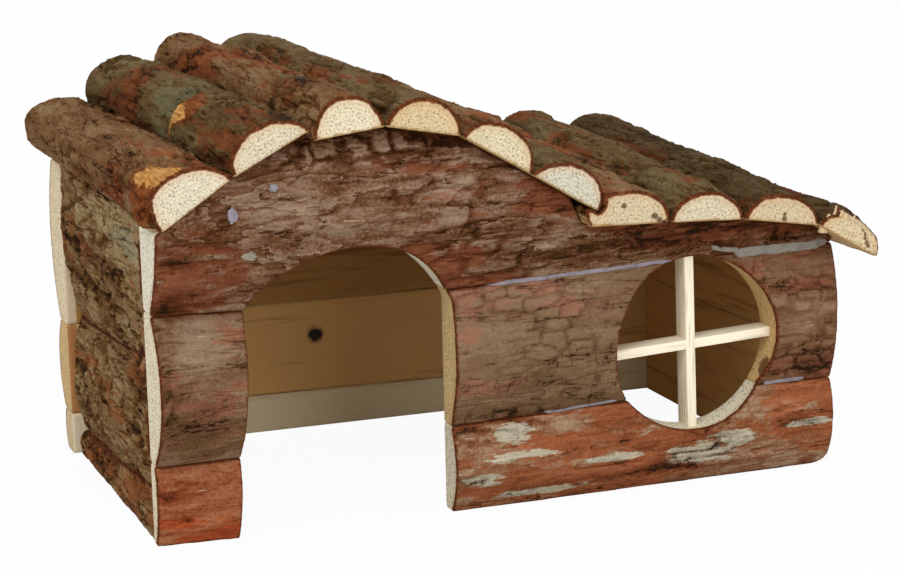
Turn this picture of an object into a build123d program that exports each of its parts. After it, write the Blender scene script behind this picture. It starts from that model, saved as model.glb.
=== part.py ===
from build123d import *
import math
import os

# A small pet's house nailed and glued up from slab boards and half logs.
# Every slab is sawn flat on the inside and keeps its round bark side outside.
# Working frame: X along the front wall, Y from front to back, Z up, the
# origin at the front wall's lower left inside corner.  At the end everything
# moves so that the origin is the bottom centre of the whole house.

# ------------------------------------------------------------------ sizes, mm
WALL_LENGTH = 262.0          # front wall, end to end
CABIN_DEPTH = 130.0          # clear room between the front and back walls
BACK_OVERRUN = 2.0           # the back wall is this much longer at each end
LEFT_WALL = 16.0             # inner face of the left wall, from the wall's end
RIGHT_WALL = 15.0            # inner face of the right wall, from the wall's end

FRONT_EAVE = 27.5            # the half logs' front ends, before the front wall
BACK_EAVE = 47.0             # their back ends, behind the back wall's inner face

# Lines between the courses of each wall, from the floor up, each given as
# (height, thickness of the wall) at equal steps along the wall, from left to
# right as seen from outside.  The crowns are the thickest line of each course.
FRONT_LINES = (
    ((0.0, 3.5), (0.0, 7.0), (0.0, 5.0), (0.0, 3.5)),
    ((29.7, 7.0), (31.3, 8.0), (34.6, 9.0), (34.4, 8.0)),
    ((84.0, 10.5), (83.1, 11.0), (85.2, 10.5), (86.6, 8.5)),
)
FRONT_CROWNS = ((9.0, 13.0, 14.0, 11.5), (23.0, 16.5, 16.5, 14.5), (25.5, 23.0, 20.0, 15.0))
BACK_LINES = (
    ((0.0, 9.0), (0.0, 9.0), (0.0, 9.0)),
    ((14.0, 10.0), (15.0, 10.0), (16.5, 11.0)),
    ((51.5, 11.0), (53.0, 11.0), (52.5, 12.0)),
    ((113.0, 12.0), (117.0, 12.0), (119.5, 13.0)),
)
BACK_CROWNS = ((14.0, 13.0, 14.5), (18.0, 19.0, 20.0), (19.0, 21.0, 24.5), (16.0, 17.0, 17.0))
LEFT_LINES = (
    ((0.0, 14.0), (0.0, 14.5), (0.0, 14.5)),
    ((9.5, 12.0), (13.5, 13.0), (19.0, 13.5)),
    ((56.0, 11.5), (59.5, 12.0), (66.0, 12.0)),
)
LEFT_CROWNS = ((15.5, 16.0, 16.0), (16.5, 17.5, 16.5), (18.5, 18.0, 16.5))
RIGHT_LINES = (
    ((0.0, 10.0), (0.0, 10.0), (0.0, 10.0)),
    ((51.0, 10.0), (49.5, 10.0), (50.5, 10.0)),
)
RIGHT_CROWNS = ((15.5, 16.5, 15.5), (15.5, 16.0, 15.5))
TOP_EDGE = 10.0              # thickness at the far edge of each top slab
UNSAWN = 6.0                 # top slabs reach this far over the gable before sawing

# Doorway: jambs and a hand-sawn, slightly lopsided head.
DOOR_FOOT_LEFT = 29.5
DOOR_FOOT_RIGHT = 109.0
DOOR_HEAD = 103.4
DOOR_SPRING = 80.0           # the jambs end and the head starts here
DOOR_LEAN = 3.0              # the left jamb leans in by this much
# The head's outline from left to right, as shares of the doorway's width
# between the jambs' tops and of the head's rise.
HEAD_SHAPE = ((0.045, 0.36), (0.19, 0.73), (0.49, 1.0), (0.77, 0.82), (0.935, 0.33))

# Round window and its cross of laths.
WINDOW_DIAMETER = 65.0
WINDOW_X = 203.7
WINDOW_HEIGHT = 54.3
LATH_WIDTH = 3.5
LATH_DEPTH = 8.5
UPRIGHT_TILT = 1.0           # degrees: the cross stands a little askew
CROSSBAR_TILT = 2.9
CROSSBAR_DROP = 1.0

# Headless brads, set under the bark where nobody sees them.
BRAD_DIAMETER = 1.4
BARK_COVER = 2.5             # bark left over the head of a brad
ROOF_BRAD_LENGTH = 17.0
ROOF_BRAD_INSET = 5.5        # from a wall's inner face to the roof brads
CORNER_BRAD_BITE = 16.0      # how far a corner brad goes into a side wall

# Corner brads: height, and depth of the head before the wall's inner face.
FRONT_LEFT_BRADS = ((14.0, 7.5), (56.0, 16.0), (100.0, 16.0))
FRONT_RIGHT_BRADS = ((17.0, 10.0), (62.0, 12.0))
BACK_LEFT_BRADS = ((8.0, 9.0), (35.0, 14.0), (85.0, 15.0))
BACK_RIGHT_BRADS = ((30.0, 13.0), (68.0, 14.0))

LOG_GAP = 0.3                # between neighbouring half logs
GLUE_FILM = 0.08             # between a half log and the sawn top of a wall
CORNER_RADIUS = 6.0          # worn lower right corner of the front wall
STOCK = 60.0                 # thicker than any board

# Each corner of the sawn gable: x and height in the plane of the logs' front
# ends, then how far it wanders sideways and upwards by their back ends.
GABLE = {
    "left_eave": (1.5, 115.0, -4.0, 2.0),
    "one_two": (27.2, 132.0, -6.0, 0.5),
    "two_three_top": (54.8, 146.2, -7.0, 0.8),
    "two_three_low": (55.4, 142.4, -7.0, 2.2),
    "three_four": (81.3, 145.5, -7.0, 3.0),
    "four_five": (108.8, 140.2, -4.0, 3.0),
    "five_six": (134.5, 124.9, 1.0, 2.5),
    "six_lip": (160.3, 109.1, 5.5, 2.5),
    "seven_heel": (156.4, 104.3, 5.2, 2.5),
    "seven_eight": (187.2, 103.3, 9.5, 2.5),
    "eight_nine": (216.4, 102.0, 12.0, 2.0),
    "nine_ten": (247.1, 97.2, 11.5, 1.2),
    "right_eave": (271.0, 83.2, 10.0, -3.5),
}
SIX_SEAT = 0.66              # share of log six's underside that the gable carries
SEVEN_TIP = 0.5              # log seven's toe climbs this share of the step to log six

# The half logs from left to right: their corners, the rise of the bark over
# the sawn underside at six places from front to back, and where the crown
# lies across the log.
LOGS = (
    (("left_eave", "one_two"), (14.5, 14.7, 15.4, 14.3, 14.6, 13.6), 0.37),
    (("one_two", "two_three_top"), (11.0, 12.4, 12.2, 13.4, 13.2, 12.8), 0.46),
    (("two_three_low", "three_four"), (13.5, 14.3, 13.9, 14.8, 13.7, 14.2), 0.50),
    (("three_four", "four_five"), (12.0, 12.2, 13.1, 12.5, 13.2, 12.5), 0.50),
    (("four_five", "five_six"), (11.3, 11.6, 11.1, 11.9, 11.2, 11.6), 0.50),
    (("five_six", "six_lip"), (11.3, 12.2, 11.8, 12.5, 11.7, 12.2), 0.56),
    (("seven_tip", "seven_heel", "seven_eight"), (10.7, 11.8, 12.6, 12.4, 13.4, 12.7), 0.58),
    (("seven_eight", "eight_nine"), (11.0, 12.3, 12.2, 13.3, 12.6, 13.2), 0.50),
    (("eight_nine", "nine_ten"), (10.7, 12.4, 13.4, 12.4, 13.1, 12.6), 0.50),
    (("nine_ten", "right_eave"), (9.5, 11.2, 10.8, 11.9, 11.0, 10.2), 0.50),
)
# Branch stubs sawn off flush and grown over: which log, depth behind the front
# wall's inner face, how far over the bark in degrees from its left edge, then
# the stub's width and height.
STUBS = (
    (1, -18.5, 24.0, 15.0, 3.2),
    (1, -15.0, 68.0, 13.0, 1.8),
    (2, 40.0, 62.0, 17.0, 2.2),
    (3, 96.0, 75.0, 16.0, 1.5),
    (6, 70.0, 100.0, 14.0, 1.4),
    (8, 108.0, 60.0, 15.0, 1.6),
    (9, 150.0, 80.0, 9.0, 2.0),
)
STUB_ROOT = 2.5              # a stub's foot is set this deep in its log

# The last half log is torn at its front end.
TORN_LENGTH = 8.0            # how far back the tear runs
TORN_HEIGHT = 6.5            # what is left of the log's height at its front end

# ------------------------------------------------------------ walls as planes
# In a wall's own plane x runs along the wall from left to right as seen from
# outside, y is height and z points out through the bark.
FRONT = Plane(origin=(0, 0, 0), x_dir=(1, 0, 0), z_dir=(0, -1, 0))
BACK = Plane(origin=(WALL_LENGTH, CABIN_DEPTH, 0), x_dir=(-1, 0, 0), z_dir=(0, 1, 0))
LEFT = Plane(origin=(LEFT_WALL, CABIN_DEPTH, 0), x_dir=(0, -1, 0), z_dir=(-1, 0, 0))
RIGHT = Plane(origin=(WALL_LENGTH - RIGHT_WALL, 0, 0), x_dir=(0, 1, 0), z_dir=(1, 0, 0))

ROOF_LENGTH = FRONT_EAVE + CABIN_DEPTH + BACK_EAVE


def line_curve(start, end, line):
    """Glue line between two courses, drawn on the wall's sawn face."""
    step = (end - start) / (len(line) - 1)
    points = [(start + i * step, height) for i, (height, _) in enumerate(line)]
    if all(height == 0 for height, _ in line):
        return Line(points[0], points[-1])
    return Spline(*points)


def bark_section(station, low, high, crown):
    """Half-round cross-section of a slab: flat sawn side, bark as an arc.

    low and high are (height, thickness) where the bark begins and ends.
    """
    hidden = -2.0
    bottom, bottom_edge = low
    top, top_edge = high
    sawn = Line((station, bottom, hidden), (station, top, hidden))
    upper = Line((station, top, hidden), (station, top, top_edge))
    bark = ThreePointArc((station, top, top_edge), (station, (bottom + top) / 2, crown),
                         (station, bottom, bottom_edge))
    lower = Line((station, bottom, bottom_edge), (station, bottom, hidden))
    return Face(Wire([sawn, upper, bark, lower]))


def slab(start, end, low, high, crowns):
    """One course of a wall: its outline sawn out of a round-backed slab."""
    count = len(crowns)
    step = (end - start) / (count - 1)
    margin = 1.0
    sections = []
    for i, crown in enumerate(crowns):
        station = start + i * step + margin * (2 * i / (count - 1) - 1)
        (bottom, bottom_edge), (top, top_edge) = low[i], high[i]
        sections.append(bark_section(station, (bottom - margin, bottom_edge),
                                     (top + margin, top_edge), crown))
    bottom_line = line_curve(start, end, low)
    top_line = line_curve(start, end, high)
    right = Line(bottom_line @ 1, top_line @ 1)
    left = Line(top_line @ 0, bottom_line @ 0)
    outline = make_face([bottom_line, right, top_line, left])
    return extrude(outline, amount=STOCK) & loft(sections)


def courses(start, end, lines, crowns, top):
    """All the slabs of a wall from the floor up; the last reaches up to top."""
    last = tuple((top, TOP_EDGE) for _ in crowns[-1])
    borders = (*lines, last)
    return [slab(start, end, borders[i], borders[i + 1], row) for i, row in enumerate(crowns)]


# ------------------------------------------------------------------- openings
def doorway():
    """Arched doorway in the front wall's plane."""
    left_top = DOOR_FOOT_LEFT + DOOR_LEAN
    width = DOOR_FOOT_RIGHT - left_top
    rise = DOOR_HEAD - DOOR_SPRING
    shape = [(left_top + along * width, DOOR_SPRING + up * rise) for along, up in HEAD_SHAPE]
    below = -5.0
    sill = Line((DOOR_FOOT_LEFT, below), (DOOR_FOOT_RIGHT, below))
    right = Line((DOOR_FOOT_RIGHT, below), (DOOR_FOOT_RIGHT, DOOR_SPRING))
    head = Spline((DOOR_FOOT_RIGHT, DOOR_SPRING), *reversed(shape), (left_top, DOOR_SPRING))
    left = Line((left_top, DOOR_SPRING), (DOOR_FOOT_LEFT, below))
    outline = make_face([sill, right, head, left])
    return Pos(0, 0, -STOCK / 2) * extrude(outline, amount=2 * STOCK)


def window_bore(radius):
    """Cylinder through the front wall at the window."""
    return Pos(WINDOW_X, WINDOW_HEIGHT, 0) * Cylinder(radius, 2 * STOCK)


# ----------------------------------------------------------------------- roof
def gable_point(name, y):
    """A gable corner at depth y: the sawn edge runs straight front to back."""
    if name == "six_seat":
        start = gable_point("five_six", y)
        return start + (gable_point("six_lip", y) - start) * SIX_SEAT
    if name == "seven_tip":
        start = gable_point("seven_heel", y)
        return start + (gable_point("six_seat", y) - start) * SEVEN_TIP
    x, z, wander, rise = GABLE[name]
    share = (y + FRONT_EAVE) / ROOF_LENGTH
    return Vector(x + wander * share, y, z + rise * share)


def roof_space():
    """Everything above the sawn gable, to saw the tops of the walls with."""
    reach = 1.4
    sky = 230.0
    sections = []
    for y in (-FRONT_EAVE, CABIN_DEPTH + BACK_EAVE):
        eave = gable_point("left_eave", y)
        run = eave - gable_point("one_two", y)
        first = eave + run * reach
        end = gable_point("right_eave", y)
        run = end - gable_point("nine_ten", y)
        last = end + run * reach
        line = [first]
        line += [gable_point(name, y) for name in
                 ("one_two", "two_three_top", "two_three_low", "three_four", "four_five",
                  "five_six", "six_seat", "seven_heel", "seven_eight", "eight_nine",
                  "nine_ten")]
        line.append(last)
        line += [Vector(last.X, y, sky), Vector(first.X, y, sky)]
        sections.append(Face(Wire(Polyline(*line, close=True).edges())))
    return loft(sections, ruled=True)


def across_log(corners, y):
    """A half log's sawn underside at depth y: its corners, direction and upwards."""
    base = [gable_point(name, y) for name in corners]
    across = (base[-1] - base[0]).normalized()
    base[0] = base[0] + across * (LOG_GAP / 2)
    base[-1] = base[-1] - across * (LOG_GAP / 2)
    return base, across, Vector(-across.Z, 0, across.X)


def bark_point(corners, y, rise, crown_at, turn):
    """Point of a half log's bark, turn being the angle from its left edge."""
    base, across, up = across_log(corners, y)
    power = math.log(crown_at) / math.log(0.5)
    along = (base[-1] - base[0]).length * ((1 - math.cos(turn)) / 2) ** power
    return base[0] + across * along + up * (rise * math.sin(turn))


def half_log(corners, rises, crown_at):
    """Half log: sawn underside between its gable corners, bark over it."""
    sections = []
    arc_steps = 6
    for i, rise in enumerate(rises):
        y = -FRONT_EAVE + ROOF_LENGTH * i / (len(rises) - 1)
        base, _, _ = across_log(corners, y)
        bark = [bark_point(corners, y, rise, crown_at, math.pi * k / arc_steps)
                for k in range(1, arc_steps)]
        underside = Polyline(*base) if len(base) > 2 else Line(*base)
        sections.append(Face(Wire(underside.edges() + [Spline(base[0], *bark, base[-1])])))
    return loft(sections)


def rise_at(rises, y):
    """Height of a half log's bark over its underside at depth y."""
    place = (y + FRONT_EAVE) / ROOF_LENGTH * (len(rises) - 1)
    before = min(int(place), len(rises) - 2)
    return rises[before] + (rises[before + 1] - rises[before]) * (place - before)


def branch_stub(log, y, degrees, width, height):
    """Low round boss that stands on the bark of a half log."""
    corners, rises, crown_at = LOGS[log - 1]
    rise = rise_at(rises, y)
    turn = math.radians(degrees)
    small = math.radians(1)
    foot = bark_point(corners, y, rise, crown_at, turn)
    run = (bark_point(corners, y, rise, crown_at, turn + small) - foot).normalized()
    outward = Vector(-run.Z, 0, run.X)
    side = Spline((width / 2, -STUB_ROOT), (0.3 * width, 0.5 * height), (0, height),
                  tangents=((-0.2, 1), (-1, 0)))
    axis = Line((0, height), (0, -STUB_ROOT))
    bottom = Line((0, -STUB_ROOT), (width / 2, -STUB_ROOT))
    profile = Plane.XZ * make_face([side, axis, bottom])
    return Plane(origin=foot, x_dir=(0, 1, 0), z_dir=outward) * revolve(profile, Axis.Z)


def tear():
    """What is torn off the front end of the last half log."""
    corners, rises, _ = LOGS[-1]
    base, across, _ = across_log(corners, -FRONT_EAVE)
    width = (base[-1] - base[0]).length
    over = 2 * max(rises)
    slope = (over - TORN_HEIGHT) * TORN_LENGTH / (rises[0] - TORN_HEIGHT)
    side = Plane(origin=base[0] - across * width, x_dir=(0, 1, 0), z_dir=across)
    outline = Polyline((0, TORN_HEIGHT), (slope, over), (-LOG_GAP, over),
                       (-LOG_GAP, TORN_HEIGHT), close=True)
    return extrude(side * make_face(outline), amount=3 * width)


def slab_top(*names):
    """Height of a top slab before its gable is sawn."""
    return max(gable_point(name, CABIN_DEPTH + BACK_EAVE).Z for name in names) + UNSAWN


# ------------------------------------------------------------------ the pieces
def between(board, left, right):
    """The length of a wall's board from left to right."""
    width = right - left
    length = Pos((left + right) / 2, 0, 0) * Box(width, 4 * STOCK, 4 * STOCK)
    return (board & length).solids()[0]


def worn_corner(board):
    """Round the board's lower right corner, as seen from outside."""
    corner = [edge for edge in board.edges().filter_by(Axis.Z)
              if abs(edge.center().X - WALL_LENGTH) < 0.1 and abs(edge.center().Y) < 0.1]
    return board.fillet(CORNER_RADIUS, corner)


def front_wall():
    """The front wall's six boards around the doorway and the window."""
    end = WALL_LENGTH
    opening = doorway() + window_bore(WINDOW_DIAMETER / 2)
    top = slab_top("two_three_top", "three_four")
    foot, middle, gable = [board - opening for board in
                           courses(0, end, FRONT_LINES, FRONT_CROWNS, top)]
    door_middle = (DOOR_FOOT_LEFT + DOOR_FOOT_RIGHT) / 2
    boards = {
        "front_foot_board": between(foot, 0, door_middle),
        "front_bottom_board": worn_corner(between(foot, door_middle, end)),
        "front_left_board": between(middle, 0, door_middle),
        "front_centre_board": between(middle, door_middle, WINDOW_X),
        "front_right_board": between(middle, WINDOW_X, end),
        "front_top_board": gable,
    }
    return {name: FRONT * board for name, board in boards.items()}


def back_wall():
    """Four plain courses, a little longer than the front wall."""
    names = ("back_bottom_board", "back_lower_board", "back_upper_board", "back_gable_board")
    boards = courses(-BACK_OVERRUN, WALL_LENGTH + BACK_OVERRUN, BACK_LINES, BACK_CROWNS,
                     slab_top("two_three_top", "three_four"))
    return {name: BACK * board for name, board in zip(names, boards)}


def side_walls():
    """Left and right walls, standing between the front and back walls."""
    left_names = ("left_bottom_board", "left_middle_board", "left_top_board")
    left = courses(0, CABIN_DEPTH, LEFT_LINES, LEFT_CROWNS, slab_top("one_two"))
    right_names = ("right_bottom_board", "right_top_board")
    right = courses(0, CABIN_DEPTH, RIGHT_LINES, RIGHT_CROWNS, slab_top("nine_ten"))
    boards = {name: LEFT * board for name, board in zip(left_names, left)}
    boards.update({name: RIGHT * board for name, board in zip(right_names, right)})
    return boards


def window_cross():
    """Two laths halved over each other, their ends rounded to the window."""
    bore = window_bore(WINDOW_DIAMETER / 2)
    reach = 1.2 * WINDOW_DIAMETER
    upright = Rot(0, 0, UPRIGHT_TILT) * Box(LATH_WIDTH, reach, LATH_DEPTH)
    crossbar = Pos(0, -CROSSBAR_DROP, 0) * Rot(0, 0, CROSSBAR_TILT) * Box(reach, LATH_WIDTH, LATH_DEPTH)
    place = Pos(WINDOW_X, WINDOW_HEIGHT, LATH_DEPTH / 2)
    upright = (place * upright) & bore
    crossbar = (place * crossbar) & bore
    shared = upright & crossbar
    front_half = shared & (Pos(WINDOW_X, WINDOW_HEIGHT, 0.75 * LATH_DEPTH)
                           * Box(reach, reach, LATH_DEPTH / 2))
    back_half = shared - front_half
    return {"window_upright": FRONT * (upright - back_half),
            "window_crossbar": FRONT * (crossbar - front_half)}


def brad(head, direction, length):
    """Headless brad from its head along a direction."""
    shank = Cylinder(BRAD_DIAMETER / 2, length, align=(Align.CENTER, Align.CENTER, Align.MIN))
    return Plane(origin=head, z_dir=direction) * shank


def corner_brads(inner_y, outward, left_rows, right_rows):
    """Brads through the front or back wall into the ends of the side walls."""
    rows = [(LEFT_WALL / 2, row) for row in left_rows]
    rows += [(WALL_LENGTH - RIGHT_WALL / 2, row) for row in right_rows]
    return [brad((x, inner_y + outward * depth, height), (0, -outward, 0),
                 depth + CORNER_BRAD_BITE) for x, (height, depth) in rows]


def roof_brads(y):
    """One brad through each half log into the wall's sawn top below it."""
    brads = []
    for corners, rises, _ in LOGS:
        start = gable_point(corners[-2], y)
        end = gable_point(corners[-1], y)
        if corners[-1] == "six_lip":
            end = gable_point("six_seat", y)
        across = (end - start).normalized()
        up = Vector(-across.Z, 0, across.X)
        head = (start + end) / 2 + up * (rise_at(rises, y) - BARK_COVER)
        brads.append(brad(head, up * -1, ROOF_BRAD_LENGTH))
    return brads


def drilled(piece, brads):
    """The piece with a tight hole for every brad that passes through it."""
    for one in brads:
        if piece & one is not None:
            piece = piece - one
    return piece


# -------------------------------------------------------------------- assembly
roof = roof_space()
roof_cut = Pos(0, 0, -GLUE_FILM) * roof
pieces = {**front_wall(), **back_wall(), **side_walls()}
for name in ("front_left_board", "front_right_board", "front_top_board", "back_upper_board",
             "back_gable_board", "left_top_board", "right_top_board"):
    pieces[name] = pieces[name] - roof_cut
pieces.update(window_cross())

for number, (corners, rises, crown_at) in enumerate(LOGS, start=1):
    pieces[f"roof_log_{number}"] = half_log(corners, rises, crown_at)
for log, *stub in STUBS:
    boss = branch_stub(log, *stub) & roof
    pieces[f"roof_log_{log}"] = pieces[f"roof_log_{log}"] + boss
pieces["roof_log_7"] = pieces["roof_log_7"] - pieces["roof_log_6"]
pieces["roof_log_10"] = pieces["roof_log_10"] - tear()

fixings = {
    "front_corner_brads": corner_brads(0, -1, FRONT_LEFT_BRADS, FRONT_RIGHT_BRADS),
    "back_corner_brads": corner_brads(CABIN_DEPTH, 1, BACK_LEFT_BRADS, BACK_RIGHT_BRADS),
    "front_roof_brads": roof_brads(-ROOF_BRAD_INSET),
    "back_roof_brads": roof_brads(CABIN_DEPTH + ROOF_BRAD_INSET),
}
for name, piece in pieces.items():
    for row in fixings.values():
        piece = drilled(piece, row)
    pieces[name] = piece
for name, row in fixings.items():
    pieces[name] = Compound(children=row)

box = Compound(children=[Compound(piece.solids()) for piece in pieces.values()]).bounding_box()
to_origin = Pos(-box.center().X, -box.center().Y, 0)

os.makedirs("parts", exist_ok=True)
for name, piece in pieces.items():
    export_step(to_origin * Compound(piece.solids()), f"parts/{name}.step")
print(f"{len(pieces)} nodes, {box.size.X:.1f} x {box.size.Y:.1f} x {box.size.Z:.1f} mm,",
      f"moved by {-box.center().X:.2f}, {-box.center().Y:.2f}")
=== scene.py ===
import math
from collections import namedtuple

import bmesh
import bpy
from bpy.props import FloatProperty, FloatVectorProperty, PointerProperty
from mathutils import Matrix, Vector, noise
from mathutils.bvhtree import BVHTree
from mathutils.kdtree import KDTree


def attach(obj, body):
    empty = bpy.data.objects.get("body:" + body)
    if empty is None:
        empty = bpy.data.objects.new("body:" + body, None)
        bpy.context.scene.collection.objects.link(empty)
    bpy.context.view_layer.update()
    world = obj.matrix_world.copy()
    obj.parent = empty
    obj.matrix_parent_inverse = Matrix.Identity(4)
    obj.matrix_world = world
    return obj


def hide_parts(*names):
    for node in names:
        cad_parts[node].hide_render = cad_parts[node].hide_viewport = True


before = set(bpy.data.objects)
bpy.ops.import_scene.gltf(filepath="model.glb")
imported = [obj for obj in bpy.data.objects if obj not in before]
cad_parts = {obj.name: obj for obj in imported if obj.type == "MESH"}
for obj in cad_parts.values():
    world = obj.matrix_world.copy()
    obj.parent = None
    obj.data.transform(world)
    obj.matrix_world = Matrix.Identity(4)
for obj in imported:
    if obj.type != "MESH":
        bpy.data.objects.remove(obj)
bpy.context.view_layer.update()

bl_info = {
    "name": "Bark slab pet house",
    "version": (1, 0, 0),
    "blender": (4, 5, 0),
    "location": "View3D > Sidebar > Pet house",
    "description": "Dresses a small house of bark slabs and half logs",
    "category": "Object",
}

MM = 0.001
# Millimetres in a metre, for the scale of a pattern.
METRE = 1000
BODY = "root"
# Start of the bark's warps, which would otherwise come from the clock.
SEED = 1
# Points of a CAD mesh that are closer than this, in metres, are one.
MERGE = 0.001 * MM
WHITE = (1, 1, 1, 1)


def linear(code):
    """A colour written as sRGB hex, as linear red, green, blue and alpha."""
    parts = [int(code[i:i + 2], 16) / 255 for i in (0, 2, 4)]
    return [p / 12.92 if p <= 0.04045 else ((p + 0.055) / 1.055) ** 2.4 for p in parts] + [1]


def smooth(low, high, value):
    """0 below low, 1 above high and an S-curve between."""
    share = min(max((value - low) / (high - low), 0), 1)
    return share * share * (3 - 2 * share)


# ------------------------------------------------------------------- settings
def colour(name, description, code):
    return FloatVectorProperty(name=name, description=description, subtype="COLOR", size=4,
                               min=0, max=1, default=linear(code))


def length(name, description, size_mm):
    return FloatProperty(name=name, description=description, subtype="DISTANCE",
                         unit="LENGTH", default=size_mm * MM, precision=4)


class BarkSettings(bpy.types.PropertyGroup):
    """Bark left on the slabs and half logs."""
    mesh_size: length("Mesh size", "Edge of the small faces that carry the bark's relief", 0.8)
    relief: FloatProperty(name="Relief", description="Share of the bark's full relief",
                          default=1.0, min=0, max=2)
    # The crack colour is partly the bark's own and partly painted shade in the grooves.
    crack: colour("Cracks", "Colour deep in the cracks", "2a190c")
    inner: colour("Inner bark", "Freshly cut inner bark", "63321a")


class WoodSettings(bpy.types.PropertyGroup):
    """Bare wood of the cuts, the sawn faces and the laths."""
    ring_step: length("Growth ring", "Distance between growth rings", 1.5)
    speck: colour("Specks", "Bark dust and resin on the saw cuts", "83633f")
    knot: colour("Knot", "Dead knot in a sawn face", "24150b")
    lath: colour("Laths", "Planed window laths", "f6ebd2")


class GlueSettings(bpy.types.PropertyGroup):
    """Glue squeezed out of the joints."""
    milky: colour("Glue", "Set glue, milky and a little blue", "878087")
    dusty: colour("Dusty glue", "Wide glue strip with dust on it", "827c72")


class StageSettings(bpy.types.PropertyGroup):
    """Floor, light and camera."""
    floor: colour("Floor", "Pale floor", "f2f2f0")
    sky: FloatProperty(name="Sky", description="Strength of the even light", default=0.62)
    key: FloatProperty(name="Key lamp", description="Power of the large lamp", subtype="POWER",
                       unit="POWER", default=10.5)
    fill: FloatProperty(name="Fill lamp", description="Power of the second lamp",
                        subtype="POWER", unit="POWER", default=7.0)
    back: FloatProperty(name="Back lamp", description="Power of the lamp behind",
                        subtype="POWER", unit="POWER", default=5.0)
    turn: FloatProperty(name="Camera turn", description="Camera round the house from its front",
                        subtype="ANGLE", unit="ROTATION", default=math.radians(19.47))
    tilt: FloatProperty(name="Camera tilt", description="Camera above the horizon",
                        subtype="ANGLE", unit="ROTATION", default=math.radians(11.76))
    roll: FloatProperty(name="Camera roll", description="Camera turned about its own axis",
                        subtype="ANGLE", unit="ROTATION", default=math.radians(-1.42))
    distance: length("Camera distance", "From the camera to what it looks at", 919.1)
    lens: FloatProperty(name="Lens", description="Focal length in millimetres", default=101.8)


class HouseSettings(bpy.types.PropertyGroup):
    """All settings of the house."""
    bark: PointerProperty(type=BarkSettings, name="Bark", description="Bark")
    wood: PointerProperty(type=WoodSettings, name="Wood", description="Bare wood")
    glue: PointerProperty(type=GlueSettings, name="Glue", description="Glue")
    stage: PointerProperty(type=StageSettings, name="Stage", description="Floor and light")


# ---------------------------------------------------------------------- looks
# One look for each kind of bark.  Colours: deep, main and light tone, the redder
# layer where scales have come off, and lichen.  Shares from 0 to 1: how much is red,
# covered with lichen, cracked and flaky.  Sizes in millimetres: length and width
# of the scales, height of a layer, depth of the cracks, thickness of the bark.
# Last comes the colour of the wood where it is cut.
Look = namedtuple("Look", "deep main light red crust bare lichen cracked flaky "
                          "plate layer crevice rim cut")
LOOKS = {
    "front_top_board": Look(
        "44270f", "6b4831", "8c735e", "6c3820", "9c9884", 0.34, 0.12, 0.40, 1.0,
        (19, 6), 0.80, 0.7, 1.3, "eee7d2"),
    "front_left_board": Look(
        "5a3e25", "72533a", "88705a", "80533c", "9c9a85", 0.24, 0.03, 0.70, 0.3,
        (11, 6), 0.30, 0.4, 1.2, "eadec2"),
    "front_centre_board": Look(
        "604730", "745940", "866c54", "855b47", "9c9a85", 0.20, 0.02, 0.78, 0.2,
        (10, 5), 0.22, 0.4, 1.1, "dfc38e"),
    "front_right_board": Look(
        "5c3b25", "6e4e36", "80634c", "7a4a35", "9c9a85", 0.30, 0.04, 0.75, 0.35,
        (9, 5), 0.28, 0.4, 1.3, "d3b27a"),
    "front_foot_board": Look(
        "6f3219", "8b4d2f", "a06c4b", "93401f", "b2a087", 0.45, 0.10, 0.10, 0.6,
        (22, 7), 0.22, 0.2, 1.1, "eadec2"),
    "front_bottom_board": Look(
        "6b4026", "865b3f", "9f866c", "8a4b2b", "b1ac96", 0.50, 0.50, 0.20, 0.7,
        (20, 5), 0.30, 0.3, 1.1, "e9e1c8"),
    "back": Look(
        "4f3420", "6e4f38", "8b745b", "7c4a32", "97937c", 0.34, 0.20, 0.6, 0.7,
        (14, 5), 0.40, 0.5, 1.3, "e8d7b4"),
    "left": Look(
        "4c2f12", "7a5834", "9c8863", "87502c", "8a8064", 0.20, 0.16, 0.70, 0.5,
        (17, 13), 0.80, 1.7, 1.6, "e6dabd"),
    "right": Look(
        "4b311c", "6c4e36", "88735a", "7c4a30", "97937c", 0.30, 0.20, 0.7, 0.7,
        (14, 5), 0.40, 0.6, 1.3, "e8d7b4"),
    "brown_log": Look(
        "4c2f14", "73502f", "8f7353", "7e4322", "7f7458", 0.26, 0.12, 0.55, 0.35,
        (11, 8), 0.50, 1.0, 1.3, "e3d3b3"),
    "olive_log": Look(
        "402a10", "5e4828", "776646", "733e1f", "6e6748", 0.24, 0.34, 0.45, 0.35,
        (12, 8), 0.45, 0.9, 1.3, "e0c99c"),
    "dark_log": Look(
        "31200a", "49361b", "624e31", "5b2d13", "5c553c", 0.20, 0.16, 0.5, 0.35,
        (12, 8), 0.45, 0.9, 1.3, "dcc6a2"),
}
LOG_LOOKS = ("brown_log", "olive_log", "brown_log", "olive_log", "brown_log",
             "olive_log", "brown_log", "olive_log", "dark_log", "dark_log")
# Boards whose ends have another colour than the rest of their wall.
BOARD_CUTS = {"back_lower_board": "d6b786", "back_bottom_board": "dcc39f"}
# Colour of each half log's sawn end.
LOG_CUTS = ("d8cdb4", "d4c8ad", "dccfb2", "d0ba92", "d5c7a6", "cbc5b0", "cdbc9b", "d2c4a8",
            "ccb997", "d2be99")
# Sawn inner faces: pale and deep grain, and the wood beyond the side walls. On the upper and gable
# back boards the darker colours inside the house are partly painted shade.
SAWN = {
    "back_bottom_board": ("efe0ba", "cdbd92", "e3d3b4"),
    "back_lower_board": ("dcae6c", "b78745", "b07a48"),
    "back_upper_board": ("ae7f42", "7d541f", "dcc6a6"),
    "back_gable_board": ("ab7f3e", "7d561f", "dcc6a6"),
}
PLAIN_SAWN = ("d3a362", "a0703a", "d3a362")
LOG_SAWN = ("b79361", "8a6434", "b79361")
# Raw wood of the splinters.
TORN_WOOD = "d9bd92"
# Which way each wall faces.
FACES = {"front": Vector((0, -1, 0)), "back": Vector((0, 1, 0)),
         "left": Vector((-1, 0, 0)), "right": Vector((1, 0, 0))}

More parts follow.
